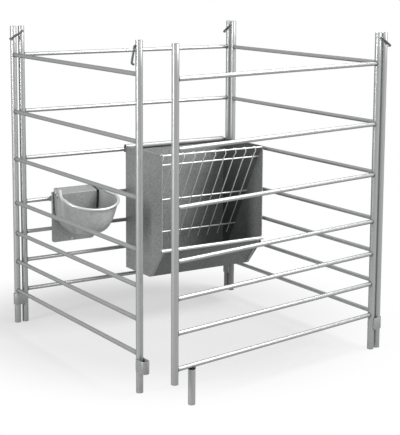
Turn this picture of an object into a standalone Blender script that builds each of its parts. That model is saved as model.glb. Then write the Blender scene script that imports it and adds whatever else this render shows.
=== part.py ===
"""Lambing pen of four tubular hurdles, with a hay feeder and a drinking bowl.

Metres, +Z up. The origin is the middle of the whole pen's footprint, at ground level.
+Y is the back panel and -Y is the gate, which stands ajar. Each hurdle has a ring post, which
carries a strap ring and a hook, and a plain post, which the next hurdle's ring and hook hold.
"""
import math

import bmesh
import bpy
from mathutils import Matrix, Vector

# Hurdle, one of four alike
PANEL_WIDTH = 1.000        # between the two post axes
POST_HEIGHT = 1.213
POST_RADIUS = 0.0125
POST_WALL = 0.002
RAIL_RADIUS = 0.008
RAIL_WALL = 0.0015
TOP_RAIL_BELOW_TOP = 0.114
LOWER_RAIL_HEIGHTS = (0.872, 0.680, 0.501, 0.3755, 0.258, 0.136)
CORNER_STEP = 0.034        # from a ring post's axis to the plain post that its ring holds
SEAT = 0.0003              # gap between pieces that touch

# Gate, the front hurdle
GATE_AJAR = math.radians(9.6)
GATE_POST_FOOT = 0.086     # height of the free post's lower end above the ground
LEG_INSET = 0.076          # from the free post's axis to the leg's axis
LEG_RADIUS = 0.0125
LEG_HEAD_BELOW_RAIL = 0.005   # from the bottom rail's axis to the leg's flat head

# Strap ring, bent round the plain post and welded to both sides of the ring post
RING_HEIGHT = 0.045
RING_BOTTOM = 0.077
RING_THICKNESS = 0.003
RING_CLEARANCE = 0.0009

# Hook, a bent rod that turns in the ring post's head
HOOK_RADIUS = 0.004
HOOK_BELOW_TOP = 0.019
HOOK_SLOPE = math.radians(31)
HOOK_CLEARANCE = 0.0012
HOOK_TIP = 0.011
HOOK_BEND = 0.007
HOOK_OUTWARD_LEAN = math.radians(11)
HOOK_LOOSE_GAP = 0.0009    # from the hanging hook's root to the post

# Hay feeder, folded from sheet
FEEDER_WIDTH = 0.500
FEEDER_DEPTH = 0.300
FEEDER_SHEET = 0.0015
FEEDER_BOTTOM = 0.168
FEEDER_TO_POST = 0.0165    # from the feeder's right side to the back corner post
FEEDER_TOP_ABOVE_RAIL = 0.016
TROUGH_LIP_HEIGHT = 0.304
TROUGH_FLOOR_DEPTH = 0.200
TROUGH_ROLL_RADIUS = 0.0075
TROUGH_ROLL_AHEAD = 0.0015     # from the side plates' front edge to the roll's middle
SIDE_SLOPE_BELOW_ROLL = 0.004  # from the roll down to the top of the side plates' slanted edge
LIP_OVERHANG = 0.005       # how far the rolled lip stands past each side plate
HANGING_FLANGE = 0.014
FOLD_RISE = 0.010          # the fold's centre above the rail's centre
BACK_CURL = 202            # degrees round the fold's centre, from behind the rail to its front
BACK_CREASE = 0.011        # from the fold's centre down to where the back sheet is flat

# Hay rack inside the feeder
RACK_ROD_RADIUS = 0.003
RACK_WIRE_RADIUS = 0.002
RACK_SLOPE = math.radians(28.5)
RACK_ROD_STEPS = (0.0, 0.049, 0.234)   # down the slope from the top rod
RACK_TOP_DROP = 0.005
RACK_FRONT_SETBACK = 0.005
RACK_WIRE_PITCH = 0.0508
RACK_WIRE_LENGTH = 0.460
RACK_WIRE_TAIL = 0.0455    # from the lowest rod to the wires' lower ends
RACK_WIRE_EDGE = 0.035     # from the right side plate to the first wire
RACK_WIRE_MARGIN = 0.007   # least space from the last wire to the left side plate
RACK_WIRE_BITE = 0.0008    # how far a wire is pressed into a rod by its weld

# Drinking bowl
BOWL_OFF_MIDDLE = -0.0238   # from the middle of the space between corner post and feeder
BOWL_HALF_WIDTH = 0.116
BOWL_NECK_HALF_WIDTH = 0.088   # of the straight walls beside the valve cover
BOWL_LENGTH = 0.254
BOWL_NECK_LENGTH = 0.062
BOWL_WIDEST = 0.1575       # from the plate to where the bowl is widest
BOWL_MIDDLE = 0.070        # from the plate to where the bowl is deepest
BOWL_DEPTH = 0.161
BOWL_WALL = 0.002
BOWL_RIM_ABOVE_RAIL = 0.015    # where the bowl is widest
BOWL_NECK_RISE = 0.0235    # from there to the neck's front
BOWL_NECK_FALL = 0.006     # from the plate to the neck's front
BOWL_RIM_FALL = 0.0325     # from the widest place to the front
BOWL_BEAD_RADIUS = 0.0045
BOWL_SIDE_ROUND = 0.49     # how the side walls draw in: (1 - depth ** fullness) ** round
BOWL_SIDE_FULLNESS = 3.0   # added to a fullness of 1 at the plate, and less and less from there
BOWL_FRONT_ROUND = 1.05
BOWL_FRONT_FULLNESS = 5.5
BOWL_BACK_ROUND = 0.8
BOWL_BACK_FULLNESS = 4.0
PLATE_WIDTH = 0.196
PLATE_HEIGHT = 0.213
PLATE_ABOVE_RAIL = 0.029
PLATE_THICKNESS = 0.002
PLATE_CORNER = 0.012
STRAP_WIDTH = 0.022
STRAP_THICKNESS = 0.003
STRAP_TAIL = 0.012
COVER_WIDTH = 0.170
COVER_BACK_WIDTH = 0.158   # along the plate
COVER_FOOT_WIDTH = 0.160   # along the lower edge of its front flap
COVER_DEPTH = 0.062
COVER_RISE = 0.029         # from the rim's widest place to the cover's top edge
COVER_FALL = 0.014
COVER_FRONT_DROP = 0.075
COVER_BACK_DROP = 0.010    # the fold that lies against the bowl's back wall
COVER_SHEET = 0.0015

POST_SIDES = 24
RAIL_SIDES = 16
ROD_RESOLUTION = 2
FLARE_STEPS = 5
FRONT_STEPS = 8
BOWL_LEVELS = (0, 0.12, 0.26, 0.42, 0.58, 0.72, 0.83, 0.91, 0.965)   # shares of the bowl's depth

rail_heights = (POST_HEIGHT - TOP_RAIL_BELOW_TOP, *LOWER_RAIL_HEIGHTS)
half_reach = (PANEL_WIDTH + CORNER_STEP) / 2
gate_length = PANEL_WIDTH + CORNER_STEP
hook_line = POST_RADIUS + HOOK_CLEARANCE + HOOK_RADIUS
hook_reach = CORNER_STEP + hook_line
hook_length = hook_reach / math.cos(HOOK_SLOPE)

# The hooks reach past the plain posts at the back and at both sides, the ajar gate at the front
back_limit = half_reach + hook_line + HOOK_RADIUS
front_limit = -half_reach - gate_length * math.sin(GATE_AJAR) - POST_RADIUS
footprint_middle = (back_limit + front_limit) / 2

for old in list(bpy.data.objects):
    bpy.data.objects.remove(old, do_unlink=True)

pen_parts = bpy.data.collections.new("lambing_pen")
cutters = bpy.data.collections.new("cutters")
bpy.context.scene.collection.children.link(pen_parts)
bpy.context.scene.collection.children.link(cutters)


def make_material(name, colour, roughness, metallic):
    """A Principled material with one colour."""
    material = bpy.data.materials.new(name)
    material.use_nodes = True
    shader = material.node_tree.nodes["Principled BSDF"]
    shader.inputs["Base Color"].default_value = (*colour, 1)
    shader.inputs["Roughness"].default_value = roughness
    shader.inputs["Metallic"].default_value = metallic
    return material


tube_steel = make_material("galvanised_tube", (0.62, 0.63, 0.63), 0.38, 0.9)
strap_steel = make_material("galvanised_strap", (0.45, 0.46, 0.46), 0.45, 0.85)
sheet_steel = make_material("galvanised_sheet", (0.36, 0.37, 0.37), 0.5, 0.8)
wire_steel = make_material("bright_wire", (0.72, 0.73, 0.73), 0.3, 0.9)
bowl_steel = make_material("bowl_metal", (0.42, 0.43, 0.42), 0.5, 0.7)


def make_frame(name, location, turn, parent=None):
    """An empty that carries a group of pieces, turned about +Z."""
    frame = bpy.data.objects.new(name, None)
    frame.location = location
    frame.rotation_euler = (0, 0, turn)
    frame.parent = parent
    pen_parts.objects.link(frame)
    return frame


def add_object(name, data, material, parent, collection=pen_parts):
    """Link a mesh or curve as a named piece under its parent."""
    piece = bpy.data.objects.new(name, data)
    piece.parent = parent
    collection.objects.link(piece)
    if material:
        data.materials.clear()
        data.materials.append(material)
    return piece


def settled_mesh(piece):
    """The piece's evaluated mesh, welded and freed of its modifiers."""
    bpy.context.view_layer.update()
    graph = bpy.context.evaluated_depsgraph_get()
    mesh = bpy.data.meshes.new_from_object(piece.evaluated_get(graph))
    shape = bmesh.new()
    shape.from_mesh(mesh)
    bmesh.ops.remove_doubles(shape, verts=shape.verts, dist=0.00001)
    shape.to_mesh(mesh)
    shape.free()
    bpy.data.objects.remove(piece, do_unlink=True)
    return mesh


def shade_round(mesh):
    """Smooth shading with the sharp edges kept."""
    mesh.shade_smooth()
    mesh.set_sharp_from_angle(angle=math.radians(35))


def turned_mesh(name, profile, sides):
    """Spin a closed profile of (radius, height) points round the Z axis."""
    outline = bpy.data.meshes.new(name + "_profile")
    points = [(radius, 0, height) for radius, height in profile]
    edges = [(i, (i + 1) % len(points)) for i in range(len(points))]
    if profile[0][0] == 0 and profile[-1][0] == 0:
        edges.pop()
    outline.from_pydata(points, edges, [])
    piece = bpy.data.objects.new(name + "_profile", outline)
    cutters.objects.link(piece)
    screw = piece.modifiers.new("turn", "SCREW")
    screw.steps = sides
    screw.render_steps = sides
    screw.use_merge_vertices = True
    screw.merge_threshold = 0.00001
    mesh = settled_mesh(piece)
    shape = bmesh.new()
    shape.from_mesh(mesh)
    bmesh.ops.recalc_face_normals(shape, faces=shape.faces)
    shape.to_mesh(mesh)
    shape.free()
    mesh.name = name
    shade_round(mesh)
    return mesh


def cut(piece, cutter):
    """Cut one piece by another, which stays hidden with the cutters."""
    cutter.hide_render = True
    cutter.display_type = "WIRE"
    boolean = piece.modifiers.new("cut", "BOOLEAN")
    boolean.operation = "DIFFERENCE"
    boolean.solver = "EXACT"
    boolean.object = cutter


def outline_mesh(name, points, width):
    """Extrude a closed outline of (x, y) points by width, centred on z = 0."""
    curve = bpy.data.curves.new(name + "_outline", "CURVE")
    curve.dimensions = "2D"
    curve.fill_mode = "BOTH"
    curve.extrude = width / 2
    spline = curve.splines.new("POLY")
    spline.points.add(len(points) - 1)
    for point, (x, y) in zip(spline.points, points):
        point.co = (x, y, 0, 1)
    spline.use_cyclic_u = True
    piece = bpy.data.objects.new(name + "_outline", curve)
    cutters.objects.link(piece)
    mesh = settled_mesh(piece)
    mesh.name = name
    return mesh


def strip_outline(path, thickness):
    """The closed outline of a bent strip whose middle line is the given open path."""
    points = [Vector(point) for point in path]
    sides = []
    for i, point in enumerate(points):
        before = (point - points[i - 1]).normalized() if i else None
        after = (points[i + 1] - point).normalized() if i < len(points) - 1 else None
        along = ((before or after) + (after or before)).normalized()
        across = Vector((-along.y, along.x))
        lean = across.dot(Vector((-(after or before).y, (after or before).x)))
        sides.append(across * (thickness / 2 / lean))
    left = [tuple(p + s) for p, s in zip(points, sides)]
    right = [tuple(p - s) for p, s in zip(points, sides)]
    return left + right[::-1]


def arc(centre, radius, start, end, steps):
    """Points of an arc, with its angles in degrees."""
    angles = [math.radians(start + (end - start) * i / steps) for i in range(steps + 1)]
    return [(centre[0] + radius * math.cos(a), centre[1] + radius * math.sin(a)) for a in angles]


def bent_rod(name, corners, radius, bend, material, parent):
    """A round rod through the corner points, each corner rounded by an arc of points."""
    points = [Vector(corner) for corner in corners]
    path = [points[0]]
    for before, corner, after in zip(points, points[1:], points[2:]):
        way_in = (before - corner).normalized()
        way_out = (after - corner).normalized()
        half = way_in.angle(way_out) / 2
        reach = min(bend / math.tan(half), (before - corner).length * 0.9)
        middle = corner + (way_in + way_out).normalized() * (reach / math.cos(half))
        start = corner + way_in * reach - middle
        end = corner + way_out * reach - middle
        for step in range(5):
            spoke = start.normalized().slerp(end.normalized(), step / 4)
            path.append(middle + spoke * start.length)
    path.append(points[-1])
    curve = bpy.data.curves.new(name, "CURVE")
    curve.dimensions = "3D"
    curve.bevel_depth = radius
    curve.bevel_resolution = ROD_RESOLUTION
    curve.use_fill_caps = True
    spline = curve.splines.new("POLY")
    spline.points.add(len(path) - 1)
    for point, place in zip(spline.points, path):
        point.co = (*place, 1)
    return add_object(name, curve, material, parent)


# Posts and rails share their meshes between the four hurdles
post_bore = POST_RADIUS - POST_WALL


def post_profile(foot):
    """A tube closed by a flat foot at its lower end and open at its top."""
    return [(0, foot), (POST_RADIUS, foot), (POST_RADIUS, POST_HEIGHT), (post_bore, POST_HEIGHT),
            (post_bore, foot + POST_WALL), (0, foot + POST_WALL)]


post_mesh = turned_mesh("post", post_profile(0), POST_SIDES)
gate_post_mesh = turned_mesh("gate_post", post_profile(GATE_POST_FOOT), POST_SIDES)


def saddle_rail_mesh():
    """A tube along +X whose two ends are cut to fit round the posts."""
    bore = RAIL_RADIUS - RAIL_WALL
    half = PANEL_WIDTH / 2
    profile = [(RAIL_RADIUS, -half), (RAIL_RADIUS, half), (bore, half), (bore, -half)]
    tube = add_object("rail_blank", turned_mesh("rail", profile, RAIL_SIDES), None, None, cutters)
    tube.matrix_world = Matrix.Translation((half, 0, 0)) @ Matrix.Rotation(math.pi / 2, 4, "Y")
    saddle = POST_RADIUS + SEAT
    for end, place in (("near", 0), ("far", PANEL_WIDTH)):
        reach = RAIL_RADIUS * 2
        profile = [(0, -reach), (saddle, -reach), (saddle, reach), (0, reach)]
        cutter = add_object("saddle_" + end, turned_mesh("saddle", profile, POST_SIDES * 2),
                            None, None, cutters)
        cutter.matrix_world = Matrix.Translation((place, 0, 0))
        cut(tube, cutter)
    place = tube.matrix_world.copy()
    mesh = settled_mesh(tube)
    mesh.transform(place)
    mesh.name = "saddle_rail"
    shade_round(mesh)
    return mesh


rail_mesh = saddle_rail_mesh()


def ring_strap_mesh():
    """A strap in the hurdle's plan, from the ring post's side round the plain post and back."""
    held = (-CORNER_STEP, 0)
    round_radius = POST_RADIUS + RING_CLEARANCE + RING_THICKNESS / 2
    weld_side = POST_RADIUS + SEAT + RING_THICKNESS / 2
    path = [(0, -weld_side)] + arc(held, round_radius, 270, 90, 16) + [(0, weld_side)]
    mesh = outline_mesh("ring_strap", strip_outline(path, RING_THICKNESS), RING_HEIGHT)
    shade_round(mesh)
    return mesh


ring_mesh = ring_strap_mesh()


def add_hook(name, hurdle_frame, side, hanging=False):
    """The hook on a ring post, round the plain post or hanging free against its own post.

    Its frame is on the rod's elbow, where it turns. A hanging hook leans out by the length of
    its tip, which rests on the post.
    """
    out = Vector((0, side, 0))
    elbow = make_frame(name + "_elbow", (0, 0, POST_HEIGHT - HOOK_BELOW_TOP), 0, hurdle_frame)
    elbow.location += out * hook_line
    lean = HOOK_OUTWARD_LEAN
    if hanging:
        along = out * math.sin(lean) - Vector((0, 0, math.cos(lean)))
        inward = -out * math.cos(lean) - Vector((0, 0, math.sin(lean)))
        root_gap = HOOK_LOOSE_GAP
    else:
        along = Vector((-math.cos(HOOK_SLOPE), 0, -math.sin(HOOK_SLOPE)))
        inward = -out
        root_gap = SEAT
    root = inward * (hook_line - POST_RADIUS - root_gap)
    far = along * hook_length
    tip = far + inward * HOOK_TIP
    corners = (root, Vector((0, 0, 0)), far, tip)
    return bent_rod(name, corners, HOOK_RADIUS, HOOK_BEND, tube_steel, elbow)


def add_hurdle(name, frame, ring_post, plain_post, hook_side, plain_mesh=post_mesh):
    """Both posts, the seven rails and the strap ring of one hurdle. It runs along the frame's +X."""
    add_object(ring_post, post_mesh, tube_steel, frame)
    add_object(plain_post, plain_mesh, tube_steel, frame).location = (PANEL_WIDTH, 0, 0)
    for number, height in enumerate(rail_heights, 1):
        add_object(f"{name}_rail_{number}", rail_mesh, tube_steel, frame).location = (0, 0, height)
    ring = add_object(name + "_ring", ring_mesh, strap_steel, frame)
    ring.location = (0, 0, RING_BOTTOM + RING_HEIGHT / 2)
    if hook_side:
        add_hook(name + "_hook", frame, hook_side)


pen = make_frame("pen_frame", (0, -footprint_middle, 0), 0)
ring_offset = half_reach - CORNER_STEP
back = make_frame("back_frame", (-ring_offset, half_reach, 0), 0, pen)
right = make_frame("right_frame", (half_reach, ring_offset, 0), -math.pi / 2, pen)
left = make_frame("left_frame", (-half_reach, -ring_offset, 0), math.pi / 2, pen)
gate_hinge = make_frame("gate_hinge", (half_reach, -half_reach, 0), GATE_AJAR, pen)
gate = make_frame("gate_frame", (-CORNER_STEP, 0, 0), math.pi, gate_hinge)

INNER_SIDE = -1
OUTER_SIDE = 1
add_hurdle("back", back, "back_left_post", "back_right_post", INNER_SIDE)
add_hurdle("right", right, "right_back_post", "right_front_post", INNER_SIDE)
add_hurdle("left", left, "left_front_post", "left_back_post", None)
add_hurdle("gate", gate, "gate_hinge_post", "gate_free_post", OUTER_SIDE, gate_post_mesh)
add_hook("catch_hook", left, OUTER_SIDE, hanging=True)


def leg_mesh():
    """A short tube with a closed foot, its flat head notched to the round of the rail above."""
    bore = LEG_RADIUS - POST_WALL
    head = rail_heights[-1] - LEG_HEAD_BELOW_RAIL
    profile = [(0, 0), (LEG_RADIUS, 0), (LEG_RADIUS, head), (bore, head), (bore, POST_WALL),
               (0, POST_WALL)]
    blank = add_object("leg_blank", turned_mesh("leg", profile, POST_SIDES), None, None, cutters)
    reach = LEG_RADIUS * 2
    groove = RAIL_RADIUS + SEAT
    profile = [(0, -reach), (groove, -reach), (groove, reach), (0, reach)]
    cutter = add_object("leg_groove", turned_mesh("leg_groove", profile, POST_SIDES), None, None,
                        cutters)
    cutter.matrix_world = (Matrix.Translation((0, 0, rail_heights[-1]))
                           @ Matrix.Rotation(math.pi / 2, 4, "Y"))
    cut(blank, cutter)
    mesh = settled_mesh(blank)
    shade_round(mesh)
    return mesh


leg = add_object("gate_leg", leg_mesh(), tube_steel, gate)
leg.location = (PANEL_WIDTH - LEG_INSET, 0, 0)

# The feeder hangs on the back hurdle's third rail. In its frame x runs to the right along the
# rail, y forward into the pen, and its origin is on the rail's axis at the feeder's middle.
hanging_rail = rail_heights[2]
feeder_right = PANEL_WIDTH - POST_RADIUS - FEEDER_TO_POST
feeder = make_frame("feeder_frame", (feeder_right - FEEDER_WIDTH / 2, 0, 0), 0, back)
rail_clear = RAIL_RADIUS + SEAT
fold = rail_clear + FEEDER_SHEET / 2
feeder_back_line = -fold
feeder_front_line = feeder_back_line - FEEDER_DEPTH
side_outline_matrix = Matrix(((0, 0, 1, 0), (1, 0, 0, 0), (0, 1, 0, 0), (0, 0, 0, 1)))


def add_profile(name, outline, width, material, parent, place=0.0, collection=pen_parts):
    """Extrude an outline of (y, z) points along x and set it at x = place."""
    mesh = outline_mesh(name, outline, width)
    mesh.transform(Matrix.Translation((place, 0, 0)) @ side_outline_matrix)
    shade_round(mesh)
    return add_object(name, mesh, material, parent, collection)


inner_width = FEEDER_WIDTH - 2 * FEEDER_SHEET - 2 * SEAT
back_path = [(fold, hanging_rail - HANGING_FLANGE)]
fold_height = hanging_rail + FOLD_RISE
back_path += arc((0, fold_height), fold, 0, BACK_CURL, 13)
back_path += [(feeder_back_line, fold_height - BACK_CREASE)]
back_path += [(feeder_back_line, FEEDER_BOTTOM + FEEDER_SHEET + SEAT)]
add_profile("feeder_back", strip_outline(back_path, FEEDER_SHEET), inner_width, sheet_steel, feeder)

floor_line = FEEDER_BOTTOM + FEEDER_SHEET / 2
floor_front = feeder_back_line - TROUGH_FLOOR_DEPTH
roll_centre = (feeder_front_line - TROUGH_ROLL_AHEAD, TROUGH_LIP_HEIGHT - TROUGH_ROLL_RADIUS)
trough_path = [(feeder_back_line + FEEDER_SHEET / 2, floor_line), (floor_front, floor_line)]
trough_path += arc(roll_centre, TROUGH_ROLL_RADIUS - FEEDER_SHEET / 2, -25, 250, 12)
trough = add_profile("feeder_trough", strip_outline(trough_path, FEEDER_SHEET),
                     FEEDER_WIDTH + 2 * LIP_OVERHANG, sheet_steel, feeder)

# Only the rolled lip keeps the full width. The rest of the trough is trimmed to the side plates.
lip_back = roll_centre[0] + TROUGH_ROLL_RADIUS + SEAT
trim_width = 3 * LIP_OVERHANG
trim_outline = [(lip_back, 0), (rail_clear, 0), (rail_clear, hanging_rail), (lip_back, hanging_rail)]
for name, sign in (("trim_left", -1), ("trim_right", 1)):
    trim = add_profile(name, trim_outline, trim_width, None, feeder,
                       sign * (inner_width + trim_width) / 2, cutters)
    cut(trough, trim)

# Each side plate is notched at its front for the lip
side_top = hanging_rail + FEEDER_TOP_ABOVE_RAIL
side_back = feeder_back_line + FEEDER_SHEET / 2
lip_notch = lip_back + SEAT
lip_clear = TROUGH_LIP_HEIGHT + 4 * SEAT
slope_top = TROUGH_LIP_HEIGHT - 2 * TROUGH_ROLL_RADIUS - SIDE_SLOPE_BELOW_ROLL
slope_share = (lip_notch - feeder_front_line) / (floor_front - feeder_front_line)
side_outline = [(side_back, FEEDER_BOTTOM), (side_back, side_top), (feeder_front_line, side_top),
                (feeder_front_line, lip_clear), (lip_notch, lip_clear),
                (lip_notch, slope_top + (FEEDER_BOTTOM - slope_top) * slope_share),
                (floor_front, FEEDER_BOTTOM)]
for name, sign in (("feeder_left_side", -1), ("feeder_right_side", 1)):
    place = sign * (FEEDER_WIDTH - FEEDER_SHEET) / 2
    add_profile(name, side_outline, FEEDER_SHEET, sheet_steel, feeder, place)

# Hay rack: four rods between the side plates, crossed by wires that hook over the top rod
rack_down = Vector((0, math.sin(RACK_SLOPE), -math.cos(RACK_SLOPE)))
rack_front = Vector((0, -math.cos(RACK_SLOPE), -math.sin(RACK_SLOPE)))
rack_top = Vector((0, feeder_front_line + RACK_FRONT_SETBACK, side_top - RACK_TOP_DROP))


def straight_rods(name, paths, radius):
    """One mesh of separate round rods, each along its own path of points."""
    curve = bpy.data.curves.new(name, "CURVE")
    curve.dimensions = "3D"
    curve.bevel_depth = radius
    curve.bevel_resolution = 1
    curve.use_fill_caps = True
    for path in paths:
        spline = curve.splines.new("POLY")
        spline.points.add(len(path) - 1)
        for point, place in zip(spline.points, path):
            point.co = (*place, 1)
    piece = bpy.data.objects.new(name, curve)
    cutters.objects.link(piece)
    return settled_mesh(piece)


def wire_path(x):
    """Up from behind the top rod, over it, and down the front of the rack."""
    lift = RACK_ROD_RADIUS + RACK_WIRE_RADIUS - RACK_WIRE_BITE
    over = [rack_front * (lift * math.cos(math.radians(a)))
            - rack_down * (lift * math.sin(math.radians(a))) for a in (200, 155, 110, 65, 25, 0)]
    points = [rack_top + step for step in over]
    points.append(points[-1] + rack_down * RACK_WIRE_LENGTH)
    return [point + Vector((x, 0, 0)) for point in points]


rod_half = FEEDER_WIDTH / 2 - FEEDER_SHEET - SEAT
rods = [[rack_top + rack_down * step + Vector((x, 0, 0)) for x in (-rod_half, rod_half)]
        for step in (*RACK_ROD_STEPS, RACK_WIRE_LENGTH - RACK_WIRE_TAIL)]
first_wire = FEEDER_WIDTH / 2 - RACK_WIRE_EDGE
wire_span = FEEDER_WIDTH - RACK_WIRE_EDGE - RACK_WIRE_MARGIN
wire_count = int(wire_span / RACK_WIRE_PITCH) + 1
wires = [wire_path(first_wire - RACK_WIRE_PITCH * i) for i in range(wire_count)]
wire_object = add_object("rack_wires", straight_rods("rack_wires", wires, RACK_WIRE_RADIUS), None,
                         feeder, cutters)
wire_object.hide_render = True
wire_object.display_type = "WIRE"
rack = add_object("hay_rack", straight_rods("hay_rack", rods, RACK_ROD_RADIUS), wire_steel, feeder)
weld = rack.modifiers.new("welds", "BOOLEAN")
weld.operation = "UNION"
weld.solver = "EXACT"
weld.object = wire_object

# The drinking bowl hangs on the back hurdle's fourth rail. Its frame is like the feeder's.
bowl_rail = rail_heights[3]
feeder_left = feeder_right - FEEDER_WIDTH
bowl_centre = (POST_RADIUS + feeder_left) / 2 + BOWL_OFF_MIDDLE
bowl_frame = make_frame("bowl_frame", (bowl_centre, 0, 0), 0, back)
rim_height = bowl_rail + BOWL_RIM_ABOVE_RAIL
plate_top = bowl_rail + PLATE_ABOVE_RAIL
plate_bottom = plate_top - PLATE_HEIGHT
strap_line = rail_clear + STRAP_THICKNESS / 2
plate_back = -rail_clear
plate_front = plate_back - PLATE_THICKNESS


def bowl_plate_mesh():
    """A plate with two rounded lower corners."""
    half = PLATE_WIDTH / 2
    points = [(-half, plate_top), (half, plate_top)]
    points += arc((half - PLATE_CORNER, plate_bottom + PLATE_CORNER), PLATE_CORNER, 0, -90, 5)
    points += arc((-half + PLATE_CORNER, plate_bottom + PLATE_CORNER), PLATE_CORNER, -90, -180, 5)
    mesh = outline_mesh("bowl_plate", points[::-1], PLATE_THICKNESS)
    mesh.transform(Matrix.Translation((0, plate_back - PLATE_THICKNESS / 2, 0))
                   @ Matrix.Rotation(math.pi / 2, 4, "X"))
    shade_round(mesh)
    return mesh


add_object("bowl_plate", bowl_plate_mesh(), bowl_steel, bowl_frame)

# Each strap is welded to the plate above the rail and goes over and behind the rail
for name, sign in (("bowl_strap_left", -1), ("bowl_strap_right", 1)):
    strap_path = arc((0, bowl_rail), strap_line, 160, 0, 10)
    strap_path += [(strap_line, bowl_rail - STRAP_TAIL)]
    place = sign * (PLATE_WIDTH - STRAP_WIDTH) / 2
    clear = plate_back + SEAT
    trimmed = [(max(y, clear), z) for y, z in strip_outline(strap_path, STRAP_THICKNESS)]
    add_profile(name, trimmed, STRAP_WIDTH, bowl_steel, bowl_frame, place)


def rim_half(inset):
    """The right half of the rim from plate to front, as (half width, reach, height) points.

    The walls are straight along the neck, then swing out and down, and close in half an ellipse.
    """
    neck_width = BOWL_NECK_HALF_WIDTH - inset
    spread = BOWL_HALF_WIDTH - BOWL_NECK_HALF_WIDTH
    flare_length = BOWL_WIDEST - BOWL_NECK_LENGTH
    front_length = BOWL_LENGTH - inset - BOWL_WIDEST
    points = [(neck_width, 0, rim_height + BOWL_NECK_RISE + BOWL_NECK_FALL)]
    for step in range(FLARE_STEPS):
        share = step / FLARE_STEPS
        swing = math.sin(share * math.pi / 2)
        points.append((neck_width + spread * swing, BOWL_NECK_LENGTH + flare_length * share,
                       rim_height + BOWL_NECK_RISE * (1 - swing)))
    for step in range(FRONT_STEPS + 1):
        angle = math.pi / 2 * step / FRONT_STEPS
        points.append(((neck_width + spread) * math.cos(angle),
                       BOWL_WIDEST + front_length * math.sin(angle),
                       rim_height - BOWL_RIM_FALL * math.sin(angle)))
    return points


def bowl_ring(depth_share, inset):
    """One level of the bowl, from its left side round the front to its right side.

    Lower down the walls draw in towards the middle, latest at the plate, and the bottom is level.
    """
    half = rim_half(inset)
    rim = [(-x, s, z) for x, s, z in half] + half[-2::-1]
    bottom = rim_height - BOWL_DEPTH
    front_left = (1 - depth_share ** BOWL_FRONT_FULLNESS) ** BOWL_FRONT_ROUND
    back_left = (1 - depth_share ** BOWL_BACK_FULLNESS) ** BOWL_BACK_ROUND
    ring = []
    for x, reach, height in rim:
        near_plate = math.cos(math.pi / 2 * min(1, reach / BOWL_WIDEST))
        fullness = 1 + BOWL_SIDE_FULLNESS * near_plate
        width_left = (1 - depth_share ** fullness) ** BOWL_SIDE_ROUND
        reach_left = front_left if reach > BOWL_MIDDLE else back_left
        place = BOWL_MIDDLE + (reach - BOWL_MIDDLE) * reach_left
        ring.append(Vector((x * width_left, plate_front - SEAT - place,
                            height - depth_share * (height - bottom))))
    return ring


def bowl_mesh():
    """A lofted open shell from the rim to the bottom, given its wall by Solidify."""
    levels = [bowl_ring(share, 0) for share in BOWL_LEVELS]
    shape = bmesh.new()
    rows = [[shape.verts.new(point) for point in level] for level in levels]
    count = len(rows[0])
    for upper, lower in zip(rows, rows[1:]):
        for i in range(count):
            j = (i + 1) % count
            shape.faces.new((upper[i], lower[i], lower[j], upper[j]))
    shape.faces.new(rows[-1][::-1])
    mesh = bpy.data.meshes.new("drinking_bowl")
    shape.to_mesh(mesh)
    shape.free()
    return mesh


bowl_mesh_data = bowl_mesh()
bowl = add_object("drinking_bowl", bowl_mesh_data, bowl_steel, bowl_frame)
wall = bowl.modifiers.new("wall", "SOLIDIFY")
wall.thickness = BOWL_WALL
wall.offset = -1
wall.use_even_offset = True
shade_round(bowl_mesh_data)

# The bead ends at the neck's front, beside the valve cover
bead_lift = Vector((0, 0, BOWL_BEAD_RADIUS + SEAT))
neck_front = plate_front - SEAT - BOWL_NECK_LENGTH
rim_points = [point + bead_lift for point in bowl_ring(0, BOWL_WALL / 2)
              if point.y < neck_front + SEAT]
rim_mesh = straight_rods("bowl_rim", [rim_points], BOWL_BEAD_RADIUS)
shade_round(rim_mesh)
add_object("bowl_rim", rim_mesh, bowl_steel, bowl_frame)

cover_front = plate_front - COVER_DEPTH
cover_top = rim_height + COVER_RISE
cover_back = plate_front - BOWL_WALL - 2 * SEAT - COVER_SHEET / 2
flap_top = cover_top - COVER_FALL
cover_path = [(cover_back, cover_top - COVER_BACK_DROP), (cover_back, cover_top),
              (cover_front, flap_top), (cover_front, flap_top - COVER_FRONT_DROP)]
cover = add_profile("valve_cover", strip_outline(cover_path, COVER_SHEET), COVER_WIDTH, bowl_steel,
                    bowl_frame)

# The cover narrows towards the plate, and its front flap narrows downwards
for vertex in cover.data.vertices:
    if vertex.co.y < cover_front + COVER_SHEET:
        drop = max(0, flap_top - vertex.co.z) / COVER_FRONT_DROP
        vertex.co.x *= 1 + (COVER_FOOT_WIDTH / COVER_WIDTH - 1) * drop
    else:
        vertex.co.x *= COVER_BACK_WIDTH / COVER_WIDTH
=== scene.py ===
import math

import bpy
import numpy as np
from mathutils import Matrix, Vector


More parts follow.
